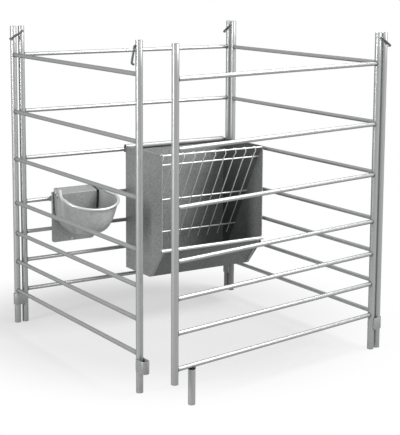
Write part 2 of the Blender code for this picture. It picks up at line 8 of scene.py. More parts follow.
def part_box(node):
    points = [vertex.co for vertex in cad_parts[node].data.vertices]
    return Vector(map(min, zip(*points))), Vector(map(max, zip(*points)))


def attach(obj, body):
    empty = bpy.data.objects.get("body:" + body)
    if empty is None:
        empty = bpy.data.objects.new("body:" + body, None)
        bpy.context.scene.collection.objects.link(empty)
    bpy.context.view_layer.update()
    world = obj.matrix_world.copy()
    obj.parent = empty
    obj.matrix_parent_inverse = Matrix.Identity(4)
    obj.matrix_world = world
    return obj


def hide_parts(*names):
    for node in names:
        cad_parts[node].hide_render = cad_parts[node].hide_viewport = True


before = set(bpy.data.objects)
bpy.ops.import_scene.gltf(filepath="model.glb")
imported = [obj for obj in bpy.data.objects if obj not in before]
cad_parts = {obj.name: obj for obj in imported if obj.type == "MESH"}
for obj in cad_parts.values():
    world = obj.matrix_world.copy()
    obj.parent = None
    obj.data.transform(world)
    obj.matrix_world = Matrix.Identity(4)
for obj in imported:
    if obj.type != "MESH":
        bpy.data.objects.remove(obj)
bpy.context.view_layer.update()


# ---- Studio: a pale floor that fades to white, soft lamps and the camera of the photograph.
# The camera looks down a little from the left front. A part of its tilt is a shift instead, because
# the photograph's posts are nearly parallel.
YAW = math.radians(32.758)
PITCH = math.radians(-8.596)
ROLL = math.radians(0.316)
CAMERA_PLACE = (-2.586, -3.9929, 1.4721)


def add_object(name, data):
    """A new object in the scene, at the origin."""
    new_object = bpy.data.objects.new(name, data)
    bpy.context.scene.collection.objects.link(new_object)
    return new_object


camera_data = bpy.data.cameras.new("camera")
camera_data.lens = 103.51
camera_data.shift_y = -0.1552
camera = add_object("camera", camera_data)
camera.matrix_world = (Matrix.Translation(CAMERA_PLACE) @ Matrix.Rotation(-YAW, 4, "Z")
                       @ Matrix.Rotation(math.pi / 2 + PITCH, 4, "X")
                       @ Matrix.Rotation(ROLL, 4, "Z"))
bpy.context.scene.camera = camera
bpy.context.scene.view_settings.view_transform = "Standard"


def add_lamp(name, place, aim, width, height, power):
    """A soft rectangular lamp at one point, facing another."""
    lamp_data = bpy.data.lights.new(name, "AREA")
    lamp_data.shape = "RECTANGLE"
    lamp_data.size = width
    lamp_data.size_y = height
    lamp_data.energy = power
    lamp = add_object(name, lamp_data)
    lamp.location = place
    lamp.rotation_euler = (Vector(aim) - lamp.location).to_track_quat("-Z", "Y").to_euler()


add_lamp("key_lamp", (-4.4, -0.4, 1.7), (0, 0, 0.6), 0.6, 2.6, 130)
add_lamp("ceiling_lamp", (2.0, -0.9, 3.5), (0, 0, 0.3), 1.8, 1.3, 165)
add_lamp("front_lamp", (-1.6, -4.6, 3.0), (0.1, 0.3, 0.5), 1.6, 1.2, 22)
add_lamp("rail_lamp", (2.7, -3.6, 2.3), (0, 0, 0.7), 2.2, 0.8, 95)


def add_node(tree, kind, label=None, **settings):
    """A node in a tree, with its own properties set."""
    node = tree.nodes.new(kind)
    if label:
        node.label = label
    for key, value in settings.items():
        setattr(node, key, value)
    return node


def feed(tree, sockets, sides):
    """Give each socket a value of its own, or what another node puts out."""
    for socket, side in zip(sockets, sides):
        if isinstance(side, bpy.types.NodeSocket):
            tree.links.new(side, socket)
        else:
            socket.default_value = side


def math_node(tree, operation, *sides):
    """One sum in a node tree. Each side is a socket or a number."""
    node = add_node(tree, "ShaderNodeMath", operation=operation)
    feed(tree, node.inputs, sides)
    return node.outputs[0]


def spread(tree, value, low, high, to_low, to_high, kind="LINEAR"):
    """Map a value from one range to another, held at both ends."""
    node = add_node(tree, "ShaderNodeMapRange", interpolation_type=kind)
    feed(tree, node.inputs, (value, low, high, to_low, to_high))
    return node.outputs["Result"]


def white_backdrop_rays(tree):
    """1 for rays that see the backdrop: the camera's, a reflection's or a transmission's."""
    rays = add_node(tree, "ShaderNodeLightPath").outputs
    mirrored = math_node(tree, "MAXIMUM", rays["Is Glossy Ray"], rays["Is Transmission Ray"])
    return math_node(tree, "MAXIMUM", rays["Is Camera Ray"], mirrored)


AMBIENT = 0.16
world = bpy.data.worlds.new("studio")
world.use_nodes = True
sky = world.node_tree
feed(sky, sky.nodes["Background"].inputs,
     ((1, 1, 1, 1), spread(sky, white_backdrop_rays(sky), 0, 1, AMBIENT, 1)))
bpy.context.scene.world = world


def new_finish(name, values):
    """A new material, its node tree and its shader, whose own sockets hold the values given."""
    finish = bpy.data.materials.new(name)
    finish.use_nodes = True
    shader = finish.node_tree.nodes["Principled BSDF"]
    feed(finish.node_tree, [shader.inputs[key] for key in values], values.values())
    return finish, finish.node_tree, shader


# The floor is a disc. It shows the pen's shadow round a place a little behind the middle, and from
# there it fades until it is as white as the backdrop.
FLOOR_REACH = 9.0
FLOOR_DROP = 0.0005
FLOOR_SHADE = (0.21, 0.212, 0.215, 1)
FLOOR_TINT = (1, 0.99, 1, 1)
FLOOR_GLOW = 0.575
SHADOW_MIDDLE = (0.0, 0.3, 0.0)
SHADOW_UNTIL = 0.50
WHITE_FROM = 1.05
floor_turn = np.linspace(0, 2 * np.pi, 64, endpoint=False)
floor_edge = np.stack([FLOOR_REACH * np.cos(floor_turn), FLOOR_REACH * np.sin(floor_turn),
                       floor_turn * 0 - FLOOR_DROP], axis=1)
floor_mesh = bpy.data.meshes.new("floor")
floor_mesh.from_pydata(floor_edge.tolist(), [], [list(range(len(floor_edge)))])
floor = add_object("floor", floor_mesh)
floor_paint, paint, floor_shader = new_finish(
    "studio_floor", {"Base Color": FLOOR_SHADE, "Roughness": 1.0, "Specular IOR Level": 0.0,
                     "Emission Color": FLOOR_TINT})
paint.links.new(math_node(paint, "MULTIPLY", white_backdrop_rays(paint), FLOOR_GLOW),
                floor_shader.inputs["Emission Strength"])
glow = add_node(paint, "ShaderNodeEmission")
glow.inputs["Color"].default_value = (1, 1, 1, 1)
place = add_node(paint, "ShaderNodeTexCoord")
distance = add_node(paint, "ShaderNodeVectorMath", operation="DISTANCE")
feed(paint, distance.inputs, (place.outputs["Object"], SHADOW_MIDDLE))
fade = spread(paint, distance.outputs["Value"], SHADOW_UNTIL, WHITE_FROM, 0, 1, "SMOOTHSTEP")
blend = add_node(paint, "ShaderNodeMixShader")
feed(paint, blend.inputs, (math_node(paint, "MULTIPLY", fade, white_backdrop_rays(paint)),
                           floor_shader.outputs[0], glow.outputs[0]))
paint.links.new(blend.outputs[0], paint.nodes["Material Output"].inputs["Surface"])
floor_mesh.materials.append(floor_paint)


# ---- Posts: eight steel tubes, 25 mm across, cut square and dipped in molten zinc after welding.
# Their tops are open. The gate's free post ends above the ground, because it drops into a ring.
def new_group(name, inputs, outputs):
    """An empty shader node group with named sockets, each input as (name, kind, value)."""
    group = bpy.data.node_groups.new(name, "ShaderNodeTree")
    for socket_name, kind, value in inputs:
        socket = group.interface.new_socket(socket_name, in_out="INPUT",
                                            socket_type="NodeSocket" + kind)
        if value is not None:
            socket.default_value = value
    for socket_name, kind in outputs:
        group.interface.new_socket(socket_name, in_out="OUTPUT", socket_type="NodeSocket" + kind)
    return group, add_node(group, "NodeGroupInput"), add_node(group, "NodeGroupOutput")


def noise(tree, place, waves, detail):
    """A noise with so many waves along a metre. Its outputs are a grey and a colour."""
    node = add_node(tree, "ShaderNodeTexNoise")
    feed(tree, [node.inputs[key] for key in ("Vector", "Scale", "Detail")], (place, waves, detail))
    return node.outputs


CRYSTAL_BEND = 0.008


def zinc_spangle_group():
    """Crystals of a zinc coat: cells of unlike tone, whose edges a noise bends, and fine grain."""
    group, given, made = new_group(
        "zinc_spangle",
        [("Vector", "Vector", None), ("Crystals per metre", "Float", 110.0),
         ("Contrast", "Float", 0.08), ("Grain", "Float", 0.04)],
        [("Tone", "Float"), ("Height", "Float")])
    place = given.outputs["Vector"]
    bent = add_node(group, "ShaderNodeVectorMath", operation="SCALE")
    feed(group, (bent.inputs[0], bent.inputs["Scale"]),
         (noise(group, place, waves=60, detail=2)["Color"], CRYSTAL_BEND))
    moved = add_node(group, "ShaderNodeVectorMath", operation="ADD")
    feed(group, moved.inputs, (place, bent.outputs[0]))
    cells = add_node(group, "ShaderNodeTexVoronoi")
    feed(group, (cells.inputs["Vector"], cells.inputs["Scale"]),
         (moved.outputs[0], given.outputs["Crystals per metre"]))
    crystal = add_node(group, "ShaderNodeSeparateColor")
    feed(group, crystal.inputs, (cells.outputs["Color"],))
    fine = noise(group, place, waves=900, detail=3)["Fac"]
    cloud = noise(group, place, waves=9, detail=3)["Fac"]
    tone = 1.0
    for source, share in ((crystal.outputs[0], "Contrast"), (fine, "Grain"), (cloud, "Contrast")):
        swing = math_node(group, "SUBTRACT", source, 0.5)
        tone = math_node(group, "ADD", tone,
                         math_node(group, "MULTIPLY", swing, given.outputs[share]))
    height = math_node(group, "ADD", math_node(group, "MULTIPLY", cells.outputs["Distance"], 0.4),
                       math_node(group, "MULTIPLY", fine, 0.5))
    feed(group, made.inputs, (tone, height))
    return group


def yard_dust_group():
    """Fine dust that settles low down: strongest at the floor and broken up by a noise."""
    group, given, made = new_group(
        "yard_dust", [("Vector", "Vector", None), ("Reach", "Float", 0.16)], [("Mask", "Float")])
    place = given.outputs["Vector"]
    apart = add_node(group, "ShaderNodeSeparateXYZ")
    feed(group, apart.inputs, (place,))
    rise = math_node(group, "DIVIDE", apart.outputs["Z"], given.outputs["Reach"])
    low = math_node(group, "MAXIMUM", math_node(group, "SUBTRACT", 1.0, rise), 0.0)
    broken = spread(group, noise(group, place, waves=70, detail=4)["Fac"], 0.35, 0.65, 0.25, 1.0)
    feed(group, made.inputs, (math_node(group, "MULTIPLY", low, broken),))
    return group


zinc_spangle = zinc_spangle_group()
yard_dust = yard_dust_group()
DUST = (0.31, 0.305, 0.29, 1)
DUST_SHARE = 0.35
DUST_ROUGHNESS = 0.3
WELD_AND_SHADE_ZINC = (0.15, 0.155, 0.15, 1)
WELD_AND_SHADE_SHARE = 0.5
CRYSTAL_RELIEF = 0.0006


def mix_colours(tree, share, first, second, kind="MIX"):
    """One colour laid over another by a share. Each is a socket or a colour."""
    node = add_node(tree, "ShaderNodeMix", data_type="RGBA", blend_type=kind)
    feed(tree, (node.inputs[0], node.inputs[6], node.inputs[7]), (share, first, second))
    return node.outputs[2]


def galvanised_finish(name, colour, roughness, metallic, crystals, contrast, grain, bump,
                      swing=0.06):
    """A zinc coat on steel: tone from its crystals, dull dust near the floor, a dark cast at welds,
    and painted shade on the pieces that carry it.

    crystals counts them along a metre. contrast and grain say how much they and the fine grain show
    in the tone, bump how far they stand out, and swing how far the roughness goes with them.
    """
    finish, tree, shader = new_finish(name, {"Metallic": metallic})
    place = add_node(tree, "ShaderNodeTexCoord").outputs["Object"]
    weld_cast_and_shade = add_node(tree, "ShaderNodeAttribute", attribute_name="weld_cast_and_shade").outputs["Fac"]
    spangle = add_node(tree, "ShaderNodeGroup", "spangle", node_tree=zinc_spangle)
    feed(tree, spangle.inputs, (place, crystals, contrast, grain))
    dust = add_node(tree, "ShaderNodeGroup", "dust", node_tree=yard_dust)
    feed(tree, dust.inputs, (place,))
    dust = dust.outputs["Mask"]
    toned = mix_colours(tree, 1.0, (*colour, 1), spangle.outputs["Tone"], "MULTIPLY")
    welded = mix_colours(tree, math_node(tree, "MULTIPLY", weld_cast_and_shade, WELD_AND_SHADE_SHARE), toned, WELD_AND_SHADE_ZINC)
    dusted = mix_colours(tree, math_node(tree, "MULTIPLY", dust, DUST_SHARE), welded, DUST)
    gloss = spread(tree, spangle.outputs["Tone"], 1 - contrast, 1 + contrast,
                   roughness + swing, roughness - swing)
    gloss = math_node(tree, "ADD", gloss, math_node(tree, "MULTIPLY", dust, DUST_ROUGHNESS))
    relief = add_node(tree, "ShaderNodeBump")
    feed(tree, [relief.inputs[key] for key in ("Strength", "Distance", "Height")],
         (bump, CRYSTAL_RELIEF, spangle.outputs["Height"]))
    feed(tree, [shader.inputs[key] for key in ("Base Color", "Roughness", "Normal")],
         (dusted, gloss, relief.outputs[0]))
    return finish


# The tubes' coat is drawn smooth. It looks darker along their edges, seen at a flat angle.
tube_zinc = galvanised_finish("tube_zinc", (0.38, 0.392, 0.385), 0.33, 0.65, 140, 0.02, 0.01, 0,
                              swing=0)
tube_shader = tube_zinc.node_tree.nodes["Principled BSDF"]
tube_shader.inputs["Specular Tint"].default_value = (0.15, 0.15, 0.15, 1)
weld_zinc = galvanised_finish("weld_zinc", (0.42, 0.43, 0.42), 0.36, 0.5, 420, 0.12, 0.10, 0.3)


def grid_quads(rows, columns, looped):
    """Four corners of each patch of a grid numbered row by row, whose columns are closed."""
    row = np.arange(rows if looped else rows - 1)[:, None]
    column = np.arange(columns)[None, :]
    next_row, next_column = (row + 1) % rows, (column + 1) % columns
    return np.stack([row * columns + column, row * columns + next_column,
                     next_row * columns + next_column, next_row * columns + column],
                    axis=-1).reshape(-1, 4)


def signed_volume(points, quads, rings):
    """Six times the volume that the faces enclose, by tetrahedra from the points' middle."""
    centred = points - points.mean(axis=0)
    a, b, c, d = (centred[quads[:, i]] for i in range(4))
    volume = np.einsum("ij,ij->", a, np.cross(b, c)) + np.einsum("ij,ij->", a, np.cross(c, d))
    for ring in rings:
        fan = centred[ring]
        volume += np.einsum("ij,ij->", np.broadcast_to(fan[:1], fan[1:-1].shape),
                            np.cross(fan[1:-1], fan[2:]))
    return volume


SHARP_ANGLE = math.radians(40)


def build_piece(name, shells, body, stands_for, finishes):
    """One mesh from closed shells, each (grid of points, looped, finish number, share of weld cast
    and painted shade).

    A shell that isn't looped is closed by a face on its first and on its last row, and every shell
    is turned so that its faces point outwards.
    """
    points, faces, finish_numbers, weld_and_shade_shares, start = [], [], [], [], 0
    for grid, looped, finish_number, weld_and_shade_share in shells:
        rows, columns = grid.shape[:2]
        flat = grid.reshape(-1, 3)
        quads = grid_quads(rows, columns, looped)
        rings = [] if looped else [np.arange(columns)[::-1],
                                   np.arange((rows - 1) * columns, rows * columns)]
        way = -1 if signed_volume(flat, quads, rings) < 0 else 1
        faces += (quads[:, ::way] + start).tolist()
        faces += [(ring[::way] + start).tolist() for ring in rings]
        finish_numbers += [finish_number] * (len(quads) + len(rings))
        points.append(flat)
        weld_and_shade_shares.append(np.broadcast_to(weld_and_shade_share, (rows, columns)).reshape(-1))
        start += len(flat)
    mesh = bpy.data.meshes.new(name)
    mesh.from_pydata(np.concatenate(points).tolist(), [], faces)
    weld_cast_and_shade = mesh.attributes.new("weld_cast_and_shade", "FLOAT", "POINT")
    weld_cast_and_shade.data.foreach_set("value", np.concatenate(weld_and_shade_shares).astype(np.float32))
    for finish in finishes:
        mesh.materials.append(finish)
    mesh.polygons.foreach_set("material_index", np.array(finish_numbers, dtype=np.int32))
    mesh.shade_smooth()
    mesh.set_sharp_from_angle(angle=SHARP_ANGLE)
    piece = add_object(name, mesh)
    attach(piece, body)
    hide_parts(*stands_for)


def turned(profile, sides, centre=(0, 0)):
    """Turn a line of (radius, height) points round an upright axis, in equal steps."""
    radius, height = np.array(profile).T
    angle = np.linspace(0, 2 * np.pi, sides, endpoint=False)
    return np.stack([centre[0] + radius[:, None] * np.cos(angle),
                     centre[1] + radius[:, None] * np.sin(angle),
                     np.broadcast_to(height[:, None], (len(radius), sides))], axis=-1)


POST_RADIUS = 0.0125
POST_WALL = 0.002
POST_SIDES = 48
POST_TOP = 1.213
GATE_POST_FOOT = 0.086
EDGE = 0.0006

# Each hurdle's ring post, its plain post and the body that carries it
HURDLES = {
    "back": ("back_left_post", "back_right_post", "pen"),
    "right": ("right_back_post", "right_front_post", "pen"),
    "left": ("left_front_post", "left_back_post", "pen"),
    "gate": ("gate_hinge_post", "gate_free_post", "gate"),
}


def post_axis(node):
    """The middle of a post's box in plan."""
    low, high = (np.array(corner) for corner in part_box(node))
    return ((low + high) / 2)[:2]


def post_shell(foot, centre):
    """A tube with eased edges, open at its top and closed by its bottom just above the foot."""
    bore = POST_RADIUS - POST_WALL
    outer = [(POST_RADIUS - EDGE, foot), (POST_RADIUS - EDGE * 0.3, foot + EDGE * 0.3),
             (POST_RADIUS, foot + EDGE)]
    shaft = [(POST_RADIUS, height) for height in np.linspace(foot, POST_TOP, 12)[1:-1]]
    head = [(POST_RADIUS, POST_TOP - EDGE), (POST_RADIUS - EDGE * 0.3, POST_TOP - EDGE * 0.3),
            (POST_RADIUS - EDGE, POST_TOP), (bore + EDGE, POST_TOP), (bore, POST_TOP - EDGE),
            (bore, foot + POST_WALL)]
    return turned(outer + shaft + head, POST_SIDES, centre)


# The two posts under the feeder are darker at their feet, a painted shade where the feeder shades
# them. The shade is drawn as the cast at a weld is, but stronger.
SHADED_POSTS = ("back_right_post", "right_back_post")
FOOT_SHADE_SHARE = 1.7
FOOT_SHADE_RISE = 0.32
FOOT_SHADE_FADE = 0.12
for ring_post, plain_post, body in HURDLES.values():
    for node in (ring_post, plain_post):
        foot = GATE_POST_FOOT if node == "gate_free_post" else 0.0
        tube = post_shell(foot, post_axis(node))
        share = FOOT_SHADE_SHARE if node in SHADED_POSTS else 0
        foot_shade = share * np.clip((FOOT_SHADE_RISE - tube[..., 2]) / FOOT_SHADE_FADE, 0, 1)
        build_piece(node + "_tube", [(tube, False, 0, foot_shade)], body, [node],
                    [tube_zinc])


# ---- Rails: seven 16 mm tubes in each hurdle, closer together near the ground to hold lambs.
# Their ends are cut to the round of the posts and welded all round before the zinc bath, which
# leaves the seams duller than the tubes.
RAIL_RADIUS = 0.008
RAIL_SIDES = 32
PANEL_WIDTH = 1.0
RAIL_HEIGHTS = (1.099, 0.872, 0.680, 0.501, 0.3755, 0.258, 0.136)
BEAD_RADIUS = 0.0019
SEAM_GAP = 0.0004
WELD_CAST = 0.008
seam_zinc = galvanised_finish("seam_zinc", (0.17, 0.175, 0.17), 0.45, 0.4, 420, 0.12, 0.10, 0.3)


def placed(points, hurdle):
    """Points in a hurdle's own frame, brought to where the hurdle stands.

    Its X runs from the ring post to the plain post, its Y to the outer side, and its origin is on
    the ring post's axis at the floor.
    """
    near, far = (post_axis(node) for node in HURDLES[hurdle][:2])
    along = (far - near) / np.linalg.norm(far - near)
    basis = np.array([[along[0], along[1], 0], [-along[1], along[0], 0], [0, 0, 1]])
    return points @ basis + np.array([near[0], near[1], 0])


def rail_shell(height):
    """A round tube whose end rows follow the posts' surfaces: x = root of R squared - y squared.

    With it comes the cast of the welds, which fades as e to the power of -distance / WELD_CAST.
    """
    turn = np.linspace(0, 2 * np.pi, RAIL_SIDES, endpoint=False)
    y = RAIL_RADIUS * np.sin(turn)
    saddle = np.sqrt(POST_RADIUS ** 2 - y ** 2) - SEAM_GAP
    steps = np.array([0, 0.003, 0.007, 0.014, 0.03, 0.25, 0.5, 0.75, 0.97, 0.986, 0.993, 0.997, 1])
    span = PANEL_WIDTH - 2 * saddle
    x = saddle + steps[:, None] * span
    grid = np.stack([x, np.broadcast_to(y, x.shape),
                     np.broadcast_to(height + RAIL_RADIUS * np.cos(turn), x.shape)], axis=-1)
    from_end = np.minimum(steps, 1 - steps) * PANEL_WIDTH
    return grid, np.exp(-from_end / WELD_CAST)[:, None]


def saddle_bead(height, far_end, phase):
    """A weld bead along the saddle between rail and post: a small circle carried round the rail.

    Its radius swells and shrinks with each puddle that the welder laid.
    """
    turn = np.linspace(0, 2 * np.pi, 44, endpoint=False)[:, None]
    ring = np.linspace(0, 2 * np.pi, 8, endpoint=False)[None, :]
    ripple = 0.16 * np.sin(11 * turn + phase) + 0.08 * np.sin(5 * turn + 2 * phase)
    swell = BEAD_RADIUS * (1 + ripple)
    reach = RAIL_RADIUS + SEAM_GAP + swell * np.cos(ring)
    y, z = reach * np.sin(turn), reach * np.cos(turn)
    core_y = RAIL_RADIUS * np.sin(turn)
    x = np.sqrt(POST_RADIUS ** 2 - core_y ** 2) + SEAM_GAP + swell * np.sin(ring)
    if far_end:
        x = PANEL_WIDTH - x
    return np.stack([x, y, height + z], axis=-1)


for hurdle, (ring_post, plain_post, body) in HURDLES.items():
    for number, height in enumerate(RAIL_HEIGHTS, 1):
        tube, weld_and_shade_share = rail_shell(height)
        phase = number * 1.7 + len(hurdle)
        shells = [(placed(tube, hurdle), False, 0, weld_and_shade_share),
                  (placed(saddle_bead(height, False, phase), hurdle), True, 1, 0.0),
                  (placed(saddle_bead(height, True, phase + 1.1), hurdle), True, 1, 0.0)]
        node = f"{hurdle}_rail_{number}"
        build_piece(node + "_tube", shells, body, [node],
                    [tube_zinc, seam_zinc])


# ---- Strap rings: flat bar 45 mm high, bent round the next hurdle's plain post and welded to both
# sides of the ring post. A hurdle is hung on its neighbour by dropping its post into the ring.
RING_HEIGHT = 0.045
RING_BOTTOM = 0.077
RING_THICKNESS = 0.003
CORNER_STEP = 0.034
RING_PLAY = 0.0009
RING_SEAT = 0.0003
RING_MID_RADIUS = POST_RADIUS + RING_PLAY + RING_THICKNESS / 2
STRAP_SIDE = POST_RADIUS + RING_SEAT + RING_THICKNESS / 2
strap_zinc = galvanised_finish("strap_zinc", (0.31, 0.319, 0.315), 0.40, 0.4, 160, 0.12, 0.08, 0.15)


def strap_shell():
    """A bar's rounded section carried along a line in plan: straight, half a circle, straight."""
    bend = np.linspace(-np.pi / 2, -3 * np.pi / 2, 40)
    arc = np.stack([-CORNER_STEP + RING_MID_RADIUS * np.cos(bend), RING_MID_RADIUS * np.sin(bend)],
                   axis=1)
    line = np.concatenate([[[0, -STRAP_SIDE]], arc, [[0, STRAP_SIDE]]])
    along = np.gradient(line, axis=0)
    along /= np.linalg.norm(along, axis=1, keepdims=True)
    across = np.stack([along[:, 1], -along[:, 0]], axis=1)
    half_t, half_h, ease = RING_THICKNESS / 2, RING_HEIGHT / 2, 0.0007
    section = np.array([(half_t, half_h - ease), (half_t - ease * 0.3, half_h - ease * 0.3),
                        (half_t - ease, half_h), (ease - half_t, half_h),
                        (ease * 0.3 - half_t, half_h - ease * 0.3), (-half_t, half_h - ease)])
    section = np.concatenate([section, section[::-1] * (1, -1)])
    plan = line[:, None, :] + across[:, None, :] * section[None, :, :1]
    height = np.broadcast_to(RING_BOTTOM + half_h + section[:, 1], plan.shape[:2])
    return np.concatenate([plan, height[..., None]], axis=-1)


def upright_bead(x, y, bottom, top, radius, phase):
    """A short vertical weld: a circle carried upwards, rippled, and drawn in at both ends."""
    share = np.linspace(0, 1, 26)[:, None]
    ring = np.linspace(0, 2 * np.pi, 10, endpoint=False)[None, :]
    swell = radius * (0.25 + 0.75 * np.sqrt(np.sin(np.pi * np.clip(share, 0.02, 0.98))))
    swell = swell * (1 + 0.12 * np.sin(38 * share + phase))
    return np.stack([x + swell * np.cos(ring), y + swell * np.sin(ring),
                     np.broadcast_to(bottom + (top - bottom) * share, swell.shape[:1] + (10,))],
                    axis=-1)


for hurdle, (ring_post, plain_post, body) in HURDLES.items():
    ring_top = RING_BOTTOM + RING_HEIGHT
    # The strap ring on a shaded post takes the same painted shade
    foot_shade = FOOT_SHADE_SHARE if ring_post in SHADED_POSTS else 0
    shells = [(placed(strap_shell(), hurdle), False, 0, foot_shade)]
    for side in (-1, 1):
        bead = upright_bead(0.0008, side * (POST_RADIUS + 0.0012), RING_BOTTOM + 0.003,
                            ring_top - 0.003, BEAD_RADIUS, side + len(hurdle))
        shells.append((placed(bead, hurdle), False, 1, 0.0))
    build_piece(hurdle + "_strap_ring", shells, body, [hurdle + "_ring"],
                [strap_zinc, weld_zinc])


# ---- Hooks: an 8 mm rod turns in the head of each ring post. It lies round the neighbour's plain
# post and drops behind it. The left front one hangs free, because the gate stands ajar. The rods'
# zinc is worn dark by use.
HOOK_RADIUS = 0.004
HOOK_HEIGHT = POST_TOP - 0.019
HOOK_LINE = POST_RADIUS + 0.0012 + HOOK_RADIUS
HOOK_SLOPE = math.radians(31)
HOOK_LEAN = math.radians(11)
HOOK_LENGTH = (CORNER_STEP + HOOK_LINE) / math.cos(HOOK_SLOPE)
HOOK_TIP = 0.011
HOOK_BEND = 0.0068
HEAD_GAP = 0.0003
HANGING_GAP = 0.0009
COLLAR_HALF = 0.0009
COLLAR_SPREAD = 0.0011
hook_zinc = galvanised_finish("hook_zinc", (0.10, 0.103, 0.10), 0.34, 0.6, 300, 0.10, 0.08, 0.1)


def eased_path(corners, radius, steps=8):
    """The straight line through corner points, each corner rounded by an arc of a circle."""
    points = [np.array(corner, dtype=float) for corner in corners]
    path = [points[0][None]]
    for before, corner, after in zip(points, points[1:], points[2:]):
        way_in = (before - corner) / np.linalg.norm(before - corner)
        way_out = (after - corner) / np.linalg.norm(after - corner)
        half = math.acos(np.clip(way_in @ way_out, -1, 1)) / 2
        reach = min(radius / math.tan(half), np.linalg.norm(before - corner) * 0.9)
        bisector = way_in + way_out
        middle = corner + bisector / np.linalg.norm(bisector) * reach / math.cos(half)
        start, end = corner + way_in * reach - middle, corner + way_out * reach - middle
        sweep = np.linspace(0, 1, steps)[:, None]
        angle = math.pi - 2 * half
        path.append(middle + (np.sin((1 - sweep) * angle) * start + np.sin(sweep * angle) * end)
                    / math.sin(angle))
    path.append(points[-1][None])
    return np.concatenate(path)


def round_rod(path, radius, sides, upright, blunt=0.35):
    """A circle carried along a path, with both ends eased. upright is never along the path."""
    along = np.gradient(path, axis=0)
    along /= np.linalg.norm(along, axis=1, keepdims=True)
    ends = np.stack([path[0] - along[0] * 1e-6, path[-1] + along[-1] * 1e-6])
    middle = np.concatenate([path[:1] + along[:1] * radius * blunt, path[1:-1],
                             path[-1:] - along[-1:] * radius * blunt])
    rows = np.concatenate([ends[:1], middle, ends[1:]])
    heading = np.concatenate([along[:1], along, along[-1:]])
    radii = np.full(len(rows), radius)
    radii[[0, -1]] *= 1 - blunt
    side = np.cross(heading, upright)
    side /= np.linalg.norm(side, axis=1, keepdims=True)
    over = np.cross(side, heading)
    ring = np.linspace(0, 2 * np.pi, sides, endpoint=False)
    return (rows[:, None] + radii[:, None, None] * (side[:, None] * np.cos(ring)[None, :, None]
                                                    + over[:, None] * np.sin(ring)[None, :, None]))


def hook_shells(hurdle, side, hanging):
    """The rod from the post's head over its elbow to its turned tip, and its collar of zinc."""
    out = np.array([0.0, side, 0.0])
    up = np.array([0.0, 0.0, 1.0])
    elbow = out * HOOK_LINE + up * HOOK_HEIGHT
    if hanging:
        along = out * math.sin(HOOK_LEAN) - up * math.cos(HOOK_LEAN)
        inward = -out * math.cos(HOOK_LEAN) - up * math.sin(HOOK_LEAN)
        upright = np.array([1.0, 0, 0])
        root_gap = HANGING_GAP
    else:
        along = np.array([-math.cos(HOOK_SLOPE), 0, -math.sin(HOOK_SLOPE)])
        inward = -out
        upright = np.cross(along, inward)
        root_gap = HEAD_GAP
    root = elbow + inward * (HOOK_LINE - POST_RADIUS - root_gap)
    far = elbow + along * HOOK_LENGTH
    path = eased_path([root, elbow, far, far + inward * HOOK_TIP], HOOK_BEND)
    collar_turn = np.linspace(0, 2 * np.pi, 28, endpoint=False)[:, None]
    collar_ring = np.linspace(0, 2 * np.pi, 8, endpoint=False)[None, :]
    reach = HOOK_RADIUS + COLLAR_HALF + COLLAR_SPREAD * np.cos(collar_ring)
    collar = (elbow - out * (HOOK_LINE - POST_RADIUS - HEAD_GAP)
              + (reach * np.cos(collar_turn))[..., None] * np.array([1.0, 0, 0])
              + (reach * np.sin(collar_turn))[..., None] * up
              + (COLLAR_HALF * np.sin(collar_ring) + 0 * collar_turn)[..., None] * out)
    return [(placed(round_rod(path, HOOK_RADIUS, 20, upright), hurdle), False, 0, 0.0),
            (placed(collar, hurdle), True, 1, 0.0)]


HOOKS = (("back_hook", "back", -1, "pen"), ("right_hook", "right", -1, "pen"),
         ("gate_hook", "gate", 1, "gate"), ("catch_hook", "left", 1, "catch"))
for name, hurdle, side, body in HOOKS:
    build_piece(name + "_rod", hook_shells(hurdle, side, name == "catch_hook"), body,
                [name], [hook_zinc, weld_zinc])


# ---- Leg: a short length of post tube under the gate's bottom rail, which keeps the free post off
# the ground. Its head is cut flat and notched for the rail, so the tube stays open on both sides,
# and a dark ring round it, where it meets the rail, is painted shade.
LEG_INSET = 0.076
LEG_HEAD = RAIL_HEIGHTS[-1] - 0.005


def leg_shell():
    """A tube with a level head, lower under the rail: z = rail - root of r squared - y squared."""
    turn = np.linspace(0, 2 * np.pi, POST_SIDES, endpoint=False)
    bore = POST_RADIUS - POST_WALL
    rows = []
    for radius, share in ((POST_RADIUS - EDGE, 0.0), (POST_RADIUS, EDGE / LEG_HEAD),
                          (POST_RADIUS, 0.5), (POST_RADIUS, 1.0), (bore, 1.0), (bore, 0.02)):
        y = radius * np.sin(turn)
        groove = RAIL_HEIGHTS[-1] - np.sqrt(np.maximum((RAIL_RADIUS + 0.0002) ** 2 - y ** 2, 0))
        head = np.where(np.abs(y) < RAIL_RADIUS, np.minimum(groove, LEG_HEAD), LEG_HEAD)
        rows.append(np.stack([PANEL_WIDTH - LEG_INSET + radius * np.cos(turn), y, share * head],
                             axis=-1))
    return np.stack(rows)


def leg_ring(profile):
    """A closed ring round the leg's head: a line of (past the post's radius, under the head)."""
    line = np.array(profile) * (1, -1) + (POST_RADIUS, LEG_HEAD)
    return placed(turned(line, POST_SIDES, (PANEL_WIDTH - LEG_INSET, 0)), "gate")


# A dark floor closes the tube just under its head, and a dark ring runs round the outside: both are
# painted shade
painted_shade_black = new_finish("painted_shade_black", {"Base Color": (0.02, 0.02, 0.018, 1), "Roughness": 0.9,
                                         "Specular IOR Level": 0.1})[0]
shade_floor = leg_ring([(0.0001 - POST_RADIUS, 0.016), (0.0002 - POST_WALL, 0.016),
                 (0.0002 - POST_WALL, 0.006), (0.0001 - POST_RADIUS, 0.006)])
shade_ring = leg_ring([(-0.0006, 0.0080), (0.0006, 0.0070), (0.0009, 0.0030),
                       (0.0005, 0.0004), (-0.0012, 0.0004), (-0.0012, 0.0080)])
build_piece("gate_leg_tube", [(placed(leg_shell(), "gate"), False, 0, 0.0),
                              (shade_floor, False, 1, 0.0), (shade_ring, False, 1, 0.0)], "gate",
            ["gate_leg"], [tube_zinc, painted_shade_black])


